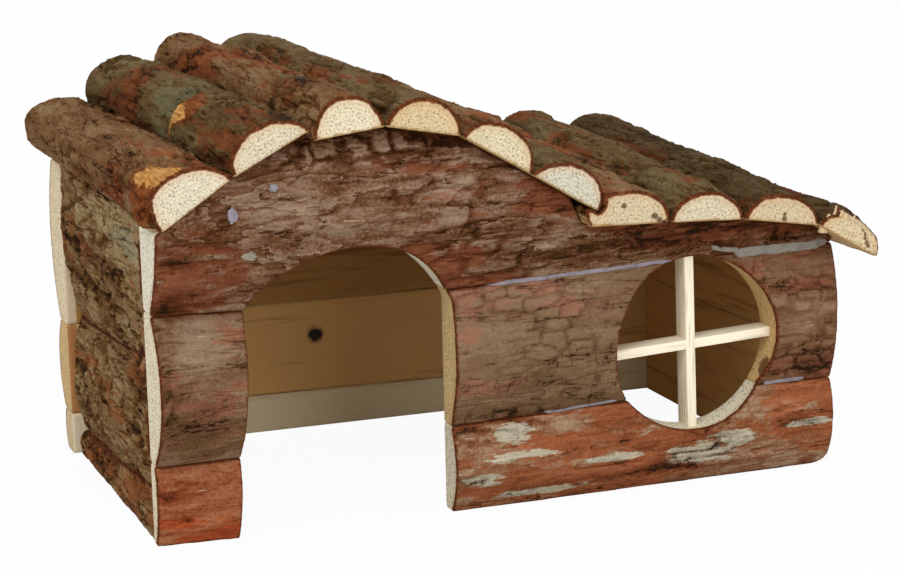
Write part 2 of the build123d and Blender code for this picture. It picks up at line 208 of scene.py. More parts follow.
# Larger patches: middle and half size, in millimetres, along and across the
# grain (along and sideways on a log).  Grey and dark change the tone, ruddy
# bares the red layer, crust is lichen and blocky bark has deep cracks.
PATCHES = {
    "front_top_board": (
        ("grey", (-73, 112), (17, 5)), ("grey", (-55, 124), (8, 2.5)),
        ("grey", (-32, 120), (12, 3.5)), ("grey", (15, 108), (12, 2)),
        ("crust", (-105, 104), (3.5, 2)), ("ruddy", (-121, 99), (17, 16)),
        ("dark", (-132, 88), (5, 4)), ("ruddy", (-33, 97), (19, 7)),
        # The two dark patches on the next line are painted shadow, cast by the roof logs over the
        # board's top.
        ("dark", (-61, 145), (44, 3)), ("dark", (75, 93), (62, 7)),
        ("dark", (10, 94), (22, 3)), ("ruddy", (-38, 128), (18, 4)),
        ("plain", (-64, 138), (48, 6)), ("blocky", (-64, 138), (48, 6)),
        ("grey", (-95, 117), (14, 5)), ("ruddy", (54, 94), (24, 3.5)),
        ("grey", (4, 97), (9, 1.5)), ("dark", (-30, 106), (12, 3))),
    "front_left_board": (("grey", (-122, 72), (13, 9)), ("dark", (-123, 45), (15, 11))),
    "front_centre_board": (
        ("ruddy", (-24, 63), (5, 17)), ("ruddy", (6, 81), (9, 2.5)),
        ("grey", (4, 79), (30, 4)), ("dark", (1, 37), (32, 3.5))),
    "front_right_board": (
        ("ruddy", (109, 72.5), (12, 2)), ("grey", (112, 60), (12, 8)),
        ("dark", (115, 42), (10, 5))),
    "front_foot_board": (
        ("dark", (-124, 13), (14, 1.4)), ("ruddy", (-124, 5), (20, 7)),
        ("plain", (-124, 22), (20, 7))),
    "front_bottom_board": (
        ("crust", (-5, 28), (9, 4)), ("crust", (-4, 20), (14, 2.2)),
        ("crust", (-17, 11.5), (11, 3)), ("crust", (68, 12.5), (17, 5.5)),
        ("crust", (82, 16.5), (10, 4.5)), ("crust", (33, 15), (18, 1.8)),
        ("crust", (112, 19), (12, 2)), ("crust", (0, 5), (20, 1.8)),
        ("dark", (50, 7), (45, 2)), ("grey", (100, 26), (20, 4))),
    "left_top_board": (
        ("grey", (-40, 106), (60, 10)), ("crust", (-58, 106), (30, 7)),
        ("dark", (0, 90), (50, 4)), ("ruddy", (-60, 93), (9, 6)),
        ("plain", (-20, 110), (70, 14))),
    "left_bottom_board": (("ruddy", (-10, 10), (70, 12)),),
    "roof_log_1": (
        ("ruddy", (-92, -141), (9, 6)), ("ruddy", (-90, -124), (10, 4)),
        ("grey", (-72, -126), (13, 1.6))),
    "roof_log_2": (
        ("ruddy", (35, -116), (15, 7)), ("ruddy", (-85, -102), (20, 7)),
        ("crust", (-10, -108), (22, 8))),
    "roof_log_3": (
        ("ruddy", (50, -86), (20, 7)), ("ruddy", (-20, -72), (16, 6)),
        ("crust", (-45, -72), (18, 6))),
}
# Bare orange wood at branch stubs: middle and radius, in millimetres.
SCARS = {
    "roof_log_1": (
        ((-134, -98, 134.5), 7.0), ((-135.5, -90, 133.6), 7.0), ((-136.5, -81, 133), 5.5)),
    "roof_log_2": (
        ((-112.9, -31, 143.4), 5.4), ((-113.8, -29, 141.2), 5.0),
        ((-111.7, -36.5, 145.1), 4.6)),
}
# Rust-brown swellings beside them: middle and radius, in millimetres.
SWELLINGS = {
    "roof_log_1": (
        ((-140.6, -94, 126), 8.5), ((-140.5, -82, 122.5), 6.0), ((-138, -78, 132), 6.0)),
    "roof_log_2": (((-109, -36, 147.6), 7.5), ((-106, -28, 149.5), 5.0)),
}
# Dead knots in sawn faces and cuts: middle and radius, in millimetres.  The row on
# the last log is a brown crease in its torn wood.
KNOTS = {
    "back_lower_board": (((-38.5, 55.3, 38.6), 3.0),),
    "front_right_board": (((97, -84, 41), 4.0),),
    "roof_log_7": (
        ((31.0, -102.3, 111.0), 1.0), ((43.0, -102.3, 106.4), 1.2),
        ((44.8, -102.3, 104.9), 1.1), ((46.8, -102.3, 103.6), 1.3)),
    "roof_log_9": (((94.6, -102.3, 102.8), 0.9), ((94.4, -102.3, 101.2), 1.0)),
    "roof_log_10": (
        ((126.6, -102, 97.4), 0.7), ((127.0, -102, 95.8), 0.8), ((127.1, -102, 94.2), 0.8),
        ((127.6, -102, 92.6), 0.8), ((127.7, -102, 91.0), 0.8), ((128.3, -102, 89.4), 0.8),
        ((128.9, -102, 88.0), 0.8)),
}
# Holes and creases in the bark, dark partly with painted shade: middle and radius, in millimetres.
HOLES = {
    "roof_log_1": (((-139, -87, 129.6), 1.5), ((-138.5, -79, 128.5), 1.3)),
    "roof_log_2": (((-110.6, -36.5, 146.2), 2.6), ((-110.9, -32, 146.2), 1.6)),
}
# Torn front of the last half log: where the tear ends, in millimetres.
TEAR = {"roof_log_10": -93.0}

# What the bark's points carry for its colours: depth under the bark (below 0 on the
# bark, with the distance to the nearest cut), cracks, layers left, branch scars,
# knots, lighter or darker patches, bared red layer and lichen.
MARKS = ("skin", "crack", "layers", "scar", "knot", "shade", "ruddy", "crust")
# Where bark ends, by how far a surface turns: 1 faces that way, -1 the other way.
BOARD_BARK = 0.45       # a board's bark faces outwards at least this far
LOG_UNDERSIDE = -0.86   # a half log's sawn side faces down further than this
LOG_END = 0.75          # its ends face front or back further than this
LOG_LOW = 0.25          # or, low on its sides, further than this
TORN_FRONT = -0.3       # before the tear's end, all that faces front is torn
SAWN_INSIDE = -0.4      # faces turned in further than this are sawn
# How deep in the cut wood the bark's relief still moves it, in millimetres.
FOLLOW = 2.4
# Share by which fine faces are evened out.
EVEN = 0.4
# Tone of plain bark, from 0 in a crack to 1 on a pale flake.
MIDDLE_TONE = 0.535
# Flakes of bark stand one over the other in this many steps.
FLAKE_STEPS = 9
# Further from the middle than this, in millimetres, an inner face is out of doors.
INSIDE = 136


# ------------------------------------------------------------------ materials
# Inputs go by number where Blender repeats their names: Math has 0, 1 and 2; Map
# Range has the value 0, from 1 and 2, to 3 and 4; Mix has the share 0, colours 6 and 7.
def put(tree, kind, links=None, stops=None, **settings):
    """Adds a node with its settings; links gives each input a value or an output."""
    node = tree.nodes.new("ShaderNode" + kind)
    for name, value in settings.items():
        setattr(node, name, value)
    for socket, value in (links or {}).items():
        if isinstance(value, bpy.types.NodeSocket):
            tree.links.new(value, node.inputs[socket])
        else:
            node.inputs[socket].default_value = value
    if stops:
        elements = node.color_ramp.elements
        while len(elements) < len(stops):
            elements.new(1)
        for element, (place, shade) in zip(elements, stops):
            element.position = place
            element.color = shade
    return node


def blank_material(name):
    """A new material with its node tree emptied."""
    material = bpy.data.materials.new(name)
    material.use_nodes = True
    material.node_tree.nodes.clear()
    return material, material.node_tree


def give_surface(tree, shade, height, strength, depth_mm, roughness, gloss):
    """Ends a material: its colour, the relief too fine for the mesh, and its sheen."""
    bump = put(tree, "Bump", {"Height": height, "Strength": strength,
                              "Distance": depth_mm * MM}).outputs[0]
    surface = put(tree, "BsdfPrincipled", {"Base Color": shade, "Normal": bump,
                                           "Roughness": roughness, "Specular IOR Level": gloss})
    put(tree, "OutputMaterial", {0: surface.outputs[0]})


def tinted(code, share):
    """A colour written as sRGB hex, lighter or darker by a share, as linear."""
    return [part * share for part in linear(code)[:3]] + [1]


def shaded(colour, share):
    """A linear colour, lighter or darker by a share."""
    return tuple(share * part for part in colour[:3]) + (1,)


def drawn_out(along, share, rest=1.0):
    """Scale of a pattern that is longer along one axis."""
    return [share if axis == along else rest for axis in range(3)]


def bark_material(name, look, along):
    """Bark with its cuts: weathered scales, cracks, a red-brown rim and pale wood."""
    bark = bpy.context.scene.pet_house.bark
    wood = bpy.context.scene.pet_house.wood
    material, tree = blank_material(name)
    place = put(tree, "TexCoord").outputs["Object"]
    grain, long_grain, cross_grain = (
        put(tree, "Mapping", {"Vector": place, "Scale": drawn_out(along, *shares)}).outputs[0]
        for shares in ((0.3,), (0.1,), (1.0, 0.4)))
    mark = {key: put(tree, "Attribute", attribute_name=key).outputs["Fac"] for key in MARKS}
    # Noise patterns: the way they run, size in millimetres, detail and roughness.
    pattern = {key: put(tree, "TexNoise", {"Vector": way, "Scale": METRE / size, "Detail": detail,
                                           "Roughness": rough}).outputs
               for key, way, size, detail, rough in (
                   ("patches", grain, 14, 7, 0.62), ("flakes", grain, 17, 6, 0.55),
                   ("fibres", long_grain, 1.2, 3, 0.7), ("grit", place, 1.1, 3, 0.7),
                   ("loose", grain, 22, 4, 0.6), ("wavy", long_grain, 10, 4, 0.5),
                   ("short", cross_grain, 13, 3, 0.55), ("crust", grain, 9, 9, 0.72),
                   ("ragged", place, 4.0, 3, 0.5), ("fuzz", place, 0.6, 2, 0.6),
                   ("specks", place, 0.7, 1, 0.5))}
    patches, flakes, fibres, grit, short, ragged, fuzz, specks = (
        pattern[key][0] for key in ("patches", "flakes", "fibres", "grit", "short", "ragged",
                                    "fuzz", "specks"))
    loose, wavy, crust = (put(tree, "SeparateColor", {0: pattern[key][1]}).outputs
                          for key in ("loose", "wavy", "crust"))
    scale = put(tree, "TexVoronoi", {"Vector": grain, "Scale": METRE / 5},
                distance="CHEBYCHEV").outputs[1]
    scale = put(tree, "SeparateColor", {0: scale}).outputs[0]

    # How light each spot is: patches, stepped flakes, fibres, grit and scales together. Each flake
    # step is painted shade, dark where it starts and lighter towards the next.
    steps = put(tree, "Math", {0: flakes, 1: FLAKE_STEPS}, operation="MULTIPLY").outputs[0]
    steps = put(tree, "Math", {0: steps}, operation="FRACT").outputs[0]
    parts = ((patches, 0.75 + 0.4 * look.flaky), (steps, 0.30 * look.flaky),
             (fibres, 0.35 + 0.25 * look.flaky), (grit, 0.8), (scale, 0.12))
    tone = MIDDLE_TONE - 0.5 * sum(weight for _, weight in parts)
    # Painted shadow: a dark, broken line under the edge of each flake.
    flake_edge_shadow = put(tree, "MapRange", {0: steps, 1: 0.03, 2: 0.16, 3: 1, 4: 0}).outputs[0]
    broken = put(tree, "MapRange", {0: grit, 1: 0.42, 2: 0.58}).outputs[0]
    flake_edge_shadow = put(tree, "Math", {0: flake_edge_shadow, 1: broken}, operation="MULTIPLY").outputs[0]
    # Long cracks with the grain, short ones across it, where the bark is cracked.
    hair = 0
    for source, middle, width, where, edge in (
            (wavy[0], 0.50, 0.007, loose[0], 0.66), (wavy[1], 0.50, 0.005, loose[1], 0.70),
            (wavy[2], 0.46, 0.006, loose[2], 0.62), (short, 0.50, 0.009, loose[1], 0.74)):
        wide = width * (0.75 + 0.6 * look.crevice)
        low = edge - 0.26 * look.cracked
        line = put(tree, "Math", {0: source, 1: middle, 2: wide}, operation="COMPARE").outputs[0]
        some = put(tree, "MapRange", {0: where, 1: low, 2: low + 0.05}).outputs[0]
        hair = put(tree, "Math", {0: line, 1: some, 2: hair}, operation="MULTIPLY_ADD").outputs[0]
    # Cracks, hairlines and holes darken the tone: partly the bark's own colour, partly painted
    # shade in the grooves.
    for part, weight in parts + ((mark["shade"], 0.22), (flake_edge_shadow, -0.22 * look.flaky),
                                 (hair, -0.28), (mark["crack"], -0.46)):
        tone = put(tree, "Math", {0: part, 1: weight, 2: tone},
                   operation="MULTIPLY_ADD").outputs[0]

    # Where layers have come off, the bark below is redder.
    fresh = loose[0]
    for part, weight in ((mark["layers"], -0.05), (mark["ruddy"], 0.12)):
        fresh = put(tree, "Math", {0: part, 1: weight, 2: fresh},
                    operation="MULTIPLY_ADD").outputs[0]
    edge = 0.64 - 0.24 * look.bare
    fresh = put(tree, "MapRange", {0: fresh, 1: edge - 0.03, 2: edge + 0.03, 4: 0.85}).outputs[0]
    # Lichen in broken crusts along the grain.
    crust = crust[2]
    for part in (mark["crust"], fibres):
        crust = put(tree, "Math", {0: part, 1: 0.25, 2: crust},
                    operation="MULTIPLY_ADD").outputs[0]
    edge = 0.82 - 0.12 * look.lichen
    crust = put(tree, "MapRange", {0: crust, 1: edge, 2: edge + 0.04, 4: 0.85}).outputs[0]
    # Branch scars: orange wood in the middle, rust-brown bark round it.
    rusty = put(tree, "MapRange", {0: mark["scar"], 1: 0.08, 2: 0.32, 4: 0.9}).outputs[0]
    scar = put(tree, "MapRange", {0: mark["scar"], 1: 0.55, 2: 0.75}).outputs[0]
    # Cuts: a red-brown rim as thick as the bark, then pale wood.
    ragged = put(tree, "Math", {0: ragged, 1: -0.5}, operation="ADD").outputs[0]
    depth = put(tree, "Math", {0: ragged, 1: 1.2, 2: mark["skin"]},
                operation="MULTIPLY_ADD").outputs[0]
    rim = put(tree, "MapRange", {0: depth, 1: -1.3, 2: -0.5}).outputs[0]
    bare = put(tree, "MapRange", {0: depth, 1: look.rim - 0.2, 2: look.rim + 0.3}).outputs[0]

    # Pale wood: growth rings, browner by the bark, with specks and knots.
    ring = put(tree, "Math", {0: ragged, 1: 1.5, 2: mark["skin"]},
               operation="MULTIPLY_ADD").outputs[0]
    ring = put(tree, "Math", {0: ring, 1: 2 * math.pi / (wood.ring_step / MM)},
               operation="MULTIPLY").outputs[0]
    ring = put(tree, "Math", {0: ring}, operation="SINE").outputs[0]
    tint = put(tree, "Math", {0: ring, 1: 0.05, 2: fuzz}, operation="MULTIPLY_ADD").outputs[0]
    wood_shade = put(tree, "ValToRGB", {0: tint},
                     stops=((0.28, tinted(look.cut, 0.60)), (0.43, tinted(look.cut, 0.92)),
                            (0.60, tinted(look.cut, 1.07)))).outputs[0]
    near_bark = put(tree, "MapRange", {0: mark["skin"], 1: look.rim, 2: 3 * look.rim,
                                       3: 0.4, 4: 0}).outputs[0]
    specks = put(tree, "MapRange", {0: specks, 1: 0.585, 2: 0.66, 4: 0.8}).outputs[0]
    knot = put(tree, "MapRange", {0: mark["knot"], 1: 0.3, 2: 0.6, 4: 0.85}).outputs[0]
    for share, shade in ((near_bark, linear("c08f58")), (specks, tuple(wood.speck)),
                         (knot, linear("573719"))):
        wood_shade = put(tree, "Mix", {0: share, 6: wood_shade, 7: shade},
                         data_type="RGBA").outputs[2]

    # The layers' colours, one laid over the other.
    dark = tuple(bark.crack)
    shade, red_shade, crust_shade, rust_shade, scar_shade, rim_shade = (
        put(tree, "ValToRGB", {0: source}, stops=stops).outputs[0] for source, stops in (
            (tone, ((0.0, dark), (0.22, linear(look.deep)), (0.47, linear(look.main)),
                    (0.74, linear(look.light)), (1.0, tinted(look.light, 1.35)))),
            (tone, ((0.0, dark), (0.22, tinted(look.red, 0.55)), (0.5, linear(look.red)),
                    (0.9, tinted(look.red, 1.5)))),
            (tone, ((0.1, dark), (0.3, tinted(look.crust, 0.6)), (0.55, linear(look.crust)),
                    (0.85, tinted(look.crust, 1.3)))),
            (tone, ((0.05, linear("3f1a06")), (0.45, linear("7a421f")), (0.85, linear("a0663a")))),
            (fibres, ((0.3, linear("8a5a2a")), (0.5, linear("bb8747")), (0.7, linear("e0ab6a")))),
            (fibres, ((0.35, linear("44200f")), (0.55, tuple(bark.inner)),
                      (0.7, linear("8a5430"))))))
    for share, layer in ((fresh, red_shade), (crust, crust_shade), (rusty, rust_shade),
                         (scar, scar_shade), (rim, rim_shade), (bare, wood_shade)):
        shade = put(tree, "Mix", {0: share, 6: shade, 7: layer}, data_type="RGBA").outputs[2]

    strength = put(tree, "MapRange", {0: bare, 3: 0.8, 4: 0.12}).outputs[0]
    give_surface(tree, shade, tone, strength, 0.7, 0.9, 0.05)
    return material


def sawn_material(name, pale, deep, outside, along):
    """Rough-planed pine: long grain lines, soft stains and small knots."""
    wood = bpy.context.scene.pet_house.wood
    material, tree = blank_material(name)
    place = put(tree, "TexCoord").outputs["Object"]
    grain = put(tree, "Mapping", {"Vector": place, "Scale": drawn_out(along, 0.06)}).outputs[0]
    flow = put(tree, "TexNoise", {"Vector": grain, "Scale": METRE / 9, "Detail": 2}).outputs[0]
    lines = put(tree, "TexNoise", {"Vector": grain, "Scale": METRE / 2.2, "Detail": 5,
                                   "Roughness": 0.65, "Distortion": 0.4}).outputs[0]
    mixed = put(tree, "Math", {0: flow, 1: 0.8, 2: lines}, operation="MULTIPLY_ADD").outputs[0]
    shade = put(tree, "ValToRGB", {0: mixed},
                stops=((0.62, linear(deep)), (0.85, linear(pale)), (1.0, linear(pale)))).outputs[0]
    # Beyond the side walls the wood has another colour; where that is paler, the darker colour
    # inside the house is partly painted shade.
    reach = put(tree, "SeparateXYZ", {0: place}).outputs[0]
    reach = put(tree, "Math", {0: reach}, operation="ABSOLUTE").outputs[0]
    reach = put(tree, "MapRange", {0: reach, 1: INSIDE * MM, 2: (INSIDE + 0.5) * MM}).outputs[0]
    outer = put(tree, "Mix", {0: lines, 6: tinted(outside, 0.75), 7: tinted(outside, 1.2)},
                data_type="RGBA").outputs[2]
    # Knots: a brown ring round a dead core.
    knot = put(tree, "Attribute", attribute_name="knot").outputs["Fac"]
    ring = put(tree, "MapRange", {0: knot, 1: 0.12, 2: 0.5, 4: 0.6}).outputs[0]
    core = put(tree, "MapRange", {0: knot, 1: 0.5, 2: 0.7}).outputs[0]
    for share, layer in ((reach, outer), (ring, linear("6b4220")), (core, tuple(wood.knot))):
        shade = put(tree, "Mix", {0: share, 6: shade, 7: layer}, data_type="RGBA").outputs[2]
    give_surface(tree, shade, lines, 0.3, 0.3, 0.7, 0.3)
    return material


def lath_material(name, pale, along):
    """Planed spruce: pale, with fine long grain and a few darker lines."""
    material, tree = blank_material(name)
    place = put(tree, "TexCoord").outputs["Object"]
    grain = put(tree, "Mapping", {"Vector": place, "Scale": drawn_out(along, 0.05)}).outputs[0]
    lines = put(tree, "TexNoise", {"Vector": grain, "Scale": METRE / 1.1, "Detail": 4,
                                   "Roughness": 0.6}).outputs[0]
    shade = put(tree, "ValToRGB", {0: lines},
                stops=((0.30, shaded(pale, 0.66)), (0.48, pale), (0.75, pale))).outputs[0]
    give_surface(tree, shade, lines, 0.25, 0.2, 0.6, 0.3)
    return material


def glue_material(name, milky):
    """Set hot glue: milky and cloudy, with a soft sheen."""
    material, tree = blank_material(name)
    place = put(tree, "TexCoord").outputs["Object"]
    cloud = put(tree, "TexNoise", {"Vector": place, "Scale": METRE / 3, "Detail": 4}).outputs[0]
    shade = put(tree, "ValToRGB", {0: cloud},
                stops=((0.34, shaded(milky, 0.72)), (0.5, milky),
                       (0.7, shaded(milky, 1.2)))).outputs[0]
    give_surface(tree, shade, cloud, 0.4, 0.4, 0.5, 0.3)
    return material


# --------------------------------------------------------------------- pieces
def cad_copy(node):
    """A copy of a CAD node's mesh with its loose triangles joined."""
    shape = bmesh.new()
    shape.from_mesh(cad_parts[node].data)
    bmesh.ops.remove_doubles(shape, verts=shape.verts, dist=MERGE)
    return shape


def fine_skin(node, size):
    """A copy of a CAD node with its surface remade of small, even faces."""
    shape = cad_copy(node)
    mesh = bpy.data.meshes.new(node + "_rough")
    shape.to_mesh(mesh)
    shape.free()
    rough = bpy.data.objects.new(node + "_rough", mesh)
    bpy.context.scene.collection.objects.link(rough)
    remesh = rough.modifiers.new("small faces", "REMESH")
    remesh.mode = "VOXEL"
    remesh.voxel_size = size
    graph = bpy.context.evaluated_depsgraph_get()
    even = bpy.data.meshes.new_from_object(rough.evaluated_get(graph))
    fine = bmesh.new()
    fine.from_mesh(even)
    bpy.data.objects.remove(rough)
    bpy.data.meshes.remove(mesh)
    bpy.data.meshes.remove(even)
    bmesh.ops.smooth_vert(fine, verts=fine.verts, factor=EVEN, use_axis_x=True, use_axis_y=True,
                          use_axis_z=True)
    fine.normal_update()
    return fine


def finish_piece(shape, name, materials, slot, *nodes):
    """Makes the piece an object on the house's body, in place of its CAD nodes."""
    mesh = bpy.data.meshes.new(name)
    for face in shape.faces:
        face.smooth = True
    shape.to_mesh(mesh)
    shape.free()
    for material in materials:
        mesh.materials.append(material)
    piece = bpy.data.objects.new(name, mesh)
    bpy.context.scene.collection.objects.link(piece)
    if nodes:
        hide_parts(*nodes)
    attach(piece, BODY)
    return piece


def relief(along, across, out, look, blocky):
    """Bark at one spot, sizes in mm: its height, how cracked it is, and layers left.

    Each number that divides a place is the length or the width of a pattern in mm.
    """
    wander = noise.noise_vector((along / 24, across / 8, out / 8))
    swell = noise.fractal((along / 50, across / 15, out / 15), 1.0, 2.0, 3)
    # Thin layers, peeled off in steps.
    peel = 2.2 * noise.fractal(((along + 4 * wander.x) / 30, (across + 2 * wander.y) / 6, out / 6),
                               0.7, 2.1, 4)
    step = math.floor(peel)
    layers = step + smooth(0.25, 0.45, peel - step)
    # Plates with cracks between them, only in places.
    near, centres = noise.voronoi(((along + 3 * wander.x) / look.plate[0],
                                   (across + 2 * wander.y) / look.plate[1],
                                   out / look.plate[1]), distance_metric="CHEBYCHEV")
    tone = noise.cell(centres[0] * 3.7)
    where = smooth(-0.1, 0.25, noise.noise((along / 35 + 9, across / 14, out / 14))
                   + 0.5 * (look.cracked - 0.6))
    crack = where * (1 - smooth(0.03, 0.2, near[1] - near[0]))
    # Deep cracks round square blocks.
    if blocky > 0:
        near = noise.voronoi(((along + 2 * wander.x) / 9, (across + wander.y) / 8, out / 8),
                             distance_metric="CHEBYCHEV")[0]
        crack = max(crack, 1.3 * blocky * (1 - smooth(0.04, 0.22, near[1] - near[0])))
    # Long splits with the grain.
    furrow = noise.noise((along / 22 + 2 * wander.z, across / 2.6, out / 2.6))
    split = 1 - smooth(0.0, 0.12, abs(furrow))
    split *= smooth(0.05, 0.35, noise.noise((along / 18, across / 5 + 7, out / 5)))
    rough = noise.fractal((along / 2.6, across / 1.5, out / 1.5), 0.8, 2.0, 2)
    height = (0.5 * swell + look.layer * (layers + 0.5 * (tone - 0.5)) + 0.12 * rough
              - look.crevice * (1 + blocky) * (crack + split))
    return height, max(0.7 * crack, 0.8 * split), layers + 0.6 * (tone - 0.5)


def blot(spots, where):
    """How much one of the round spots covers a place, from 0 to 1; their edges wander."""
    share = 0.0
    for middle, radius in spots:
        reach = (where - Vector(middle)).length / radius
        reach += 0.3 * noise.noise(where * 0.6)
        share = max(share, math.exp(-0.7 * max(reach, 0) ** 3))
    return share


def patch_share(kind, node, along, across):
    """How much the node's patches of one kind cover a place, from 0 to 1."""
    share = 0.0
    for name, middle, half in PATCHES.get(node, ()):
        if name == kind:
            reach = math.hypot((along - middle[0]) / half[0], (across - middle[1]) / half[1])
            share = max(share, 1 - smooth(0.4, 1.4, reach))
    return share


def upward(shape):
    """Direction square to the flat sawn underside of a half log."""
    total = Vector((0, 0, 0))
    # Only faces that look down, and neither to the front nor to the back.
    for face in shape.faces:
        if face.normal.z < -0.6 and abs(face.normal.y) < 0.3:
            total -= face.normal * face.calc_area()
    return total.normalized()


def is_bark(vert, face, up, torn):
    """Whether a point is on bark and not on a sawn face, an end or the tear."""
    normal = vert.normal
    if face is not None:
        return normal.dot(face) > BOARD_BARK
    rise = normal.dot(up)
    return (rise > LOG_UNDERSIDE and abs(normal.y) < LOG_END
            and not (rise < -LOG_LOW and abs(normal.y) > LOG_LOW)
            and not (vert.co.y / MM < torn and normal.y < TORN_FRONT))


def barked(node, look, face):
    """A slab or log with its bark in relief; face is None on a log."""
    settings = bpy.context.scene.pet_house.bark
    shape = fine_skin(node, settings.mesh_size)
    layer = {key: shape.verts.layers.float.new(key) for key in MARKS}
    up = upward(shape) if face is None else face
    torn = TEAR.get(node, -math.inf)
    scars, swellings, holes, knots = (spots.get(node, ())
                                      for spots in (SCARS, SWELLINGS, HOLES, KNOTS))
    barky = []
    bare = []
    for vert in shape.verts:
        (barky if is_bark(vert, face, up, torn) else bare).append(vert)
    cuts = KDTree(len(bare))
    for number, vert in enumerate(bare):
        cuts.insert(vert.co, number)
    cuts.balance()
    tree = KDTree(len(barky))
    moves = []
    for number, vert in enumerate(barky):
        spot = vert.co / MM
        edge = cuts.find(vert.co)[2] / MM
        if face is None:
            along, across, out = spot.y, spot.x, spot.z
            push = vert.normal.copy()
            push.y = 0
            push.normalize()
        else:
            along = spot.y if abs(face.x) else spot.x
            across = spot.z
            # Any number that differs from wall to wall, so that no two match.
            out = 31.7 * (face.x + 2 * face.y)
            push = face
        patch = {kind: patch_share(kind, node, along, across)
                 for kind in ("blocky", "ruddy", "plain", "crust", "grey", "dark")}
        height, crack, left = relief(along, across, out, look, patch["blocky"])
        scar = smooth(0.45, 0.75, blot(scars, spot))
        swelling = smooth(0.3, 0.6, blot(swellings, spot))
        hole = smooth(0.3, 0.7, blot(holes, spot))
        for key, value in (("crack", max(crack * (1 - scar), hole)), ("layers", left),
                           ("skin", -edge), ("scar", max(scar, 0.45 * swelling)),
                           ("ruddy", patch["ruddy"] - patch["plain"]), ("crust", patch["crust"]),
                           ("shade", patch["grey"] - patch["dark"])):
            vert[layer[key]] = value
        # The relief fades towards a cut and under a scar.
        height *= (1 - 0.6 * scar) * (0.3 + 0.7 * smooth(0.5, 4, edge))
        height += 0.5 * swelling - 0.9 * hole
        moves.append(push * (height * settings.relief * MM))
        tree.insert(vert.co, number)
    tree.balance()
    for vert in bare:
        _, number, distance = tree.find(vert.co)
        depth = distance / MM
        vert[layer["skin"]] = depth
        vert[layer["layers"]] = barky[number][layer["layers"]]
        vert[layer["knot"]] = blot(knots, vert.co / MM)
        if depth < FOLLOW:
            vert.co += moves[number] * (1 - depth / FOLLOW)
    for vert, move in zip(barky, moves):
        vert.co += move
    for poly in shape.faces:
        poly.material_index = 1 if poly.normal.dot(up) < SAWN_INSIDE else 0
    return shape


def dress_wall(side):
    """Builds every board of one wall."""
    face = FACES[side]
    along = 1 if abs(face.x) else 0
    for node in sorted(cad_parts):
        if not (node.startswith(side) and node.endswith("board")):
            continue
        look = LOOKS.get(node) or LOOKS[side]
        look = look._replace(cut=BOARD_CUTS.get(node, look.cut))
        bark = bark_material("pine_bark_" + node, look, along)
        sawn = sawn_material("sawn_pine_" + node, *SAWN.get(node, PLAIN_SAWN), along)
        finish_piece(barked(node, look, face), node + "_bark", (bark, sawn), "bark_slab", node)


class HOUSE_OT_front_wall(bpy.types.Operator):
    """Six bark slabs round the doorway and the window"""
    bl_idname = "pet_house.front_wall"
    bl_label = "Front wall"

    def execute(self, context):
        dress_wall("front")
        return {"FINISHED"}


class HOUSE_OT_back_wall(bpy.types.Operator):
    """Four bark slabs of the back wall"""
    bl_idname = "pet_house.back_wall"
    bl_label = "Back wall"

    def execute(self, context):
        dress_wall("back")
        return {"FINISHED"}


class HOUSE_OT_side_walls(bpy.types.Operator):
    """Bark slabs of the left and right walls"""
    bl_idname = "pet_house.side_walls"
    bl_label = "Side walls"

    def execute(self, context):
        dress_wall("left")
        dress_wall("right")
        return {"FINISHED"}


class HOUSE_OT_roof(bpy.types.Operator):
    """Ten half logs of the roof"""
    bl_idname = "pet_house.roof"
    bl_label = "Roof logs"

    def execute(self, context):
        along = 1
        sawn = sawn_material("sawn_pine_logs", *LOG_SAWN, along)
        for number, (name, cut) in enumerate(zip(LOG_LOOKS, LOG_CUTS), start=1):
            node = f"roof_log_{number}"
            look = LOOKS[name]._replace(cut=cut)
            bark = bark_material(f"pine_bark_{node}", look, along)
            finish_piece(barked(node, look, None), node + "_bark", (bark, sawn), "bark_log", node)
        return {"FINISHED"}


# Edges of a lath that turn more than this are eased, by this much in millimetres.
LATH_EDGE = math.radians(40)
LATH_EASE = 0.25


class HOUSE_OT_window_cross(bpy.types.Operator):
    """Two planed laths across the window"""
    bl_idname = "pet_house.window_cross"
    bl_label = "Window cross"

    def execute(self, context):
        wood = context.scene.pet_house.wood
        for node, along in (("window_upright", 2), ("window_crossbar", 0)):
            material = lath_material("planed_spruce_" + node, tuple(wood.lath), along)
            shape = cad_copy(node)
            sharp = [edge for edge in shape.edges
                     if edge.is_manifold and edge.calc_face_angle() > LATH_EDGE]
            bmesh.ops.bevel(shape, geom=sharp, offset=LATH_EASE * MM, affect="EDGES", segments=2,
                            profile=0.5, material=-1, clamp_overlap=True)
            finish_piece(shape, node + "_lath", (material,), "pine_lath", node)
        return {"FINISHED"}


# Glue lines on the front: ends in x and z, width in millimetres, and which glue.
GLUE_LINES = (
    ((-16, 83.7), (57, 86.0), 1.5, "milky"),
    ((72, 90.0), (84, 87.4), 1.8, "dusty"),
    ((82, 86.4), (122, 87.0), 3.8, "dusty"),
    ((6, 33.8), (35, 35.3), 1.0, "milky"),
    ((95, 35.4), (112, 35.6), 1.5, "milky"),
)
# Glue dabs on the gable: middle in x and z, width and height, in millimetres.
GLUE_DABS = (((-111.2, 118.8), 3.6, 5.6), ((-96.6, 127.3), 3.2, 2.8))
# Sizes of the glue, in millimetres.
GLUE_STEP = 0.8         # length of a line's faces
GLUE_OVER_AIR = -86     # y of a line where no wood lies behind it
GLUE_LIFT = 0.55        # how high the middle of a line stands
GLUE_FALL = 1.6         # how its sides fall off
GLUE_THICK = 0.5
DAB_THICK = 1.8
GLUE_PASSES = 25        # rounds of smoothing, which melt a line over the bark


def front_point(surface, x, z):
    """Where a line from the front first meets the surface; x and z in millimetres."""
    outside = Vector((x * MM, -0.3, z * MM))
    return surface.ray_cast(outside, Vector((0, 1, 0)))[0]


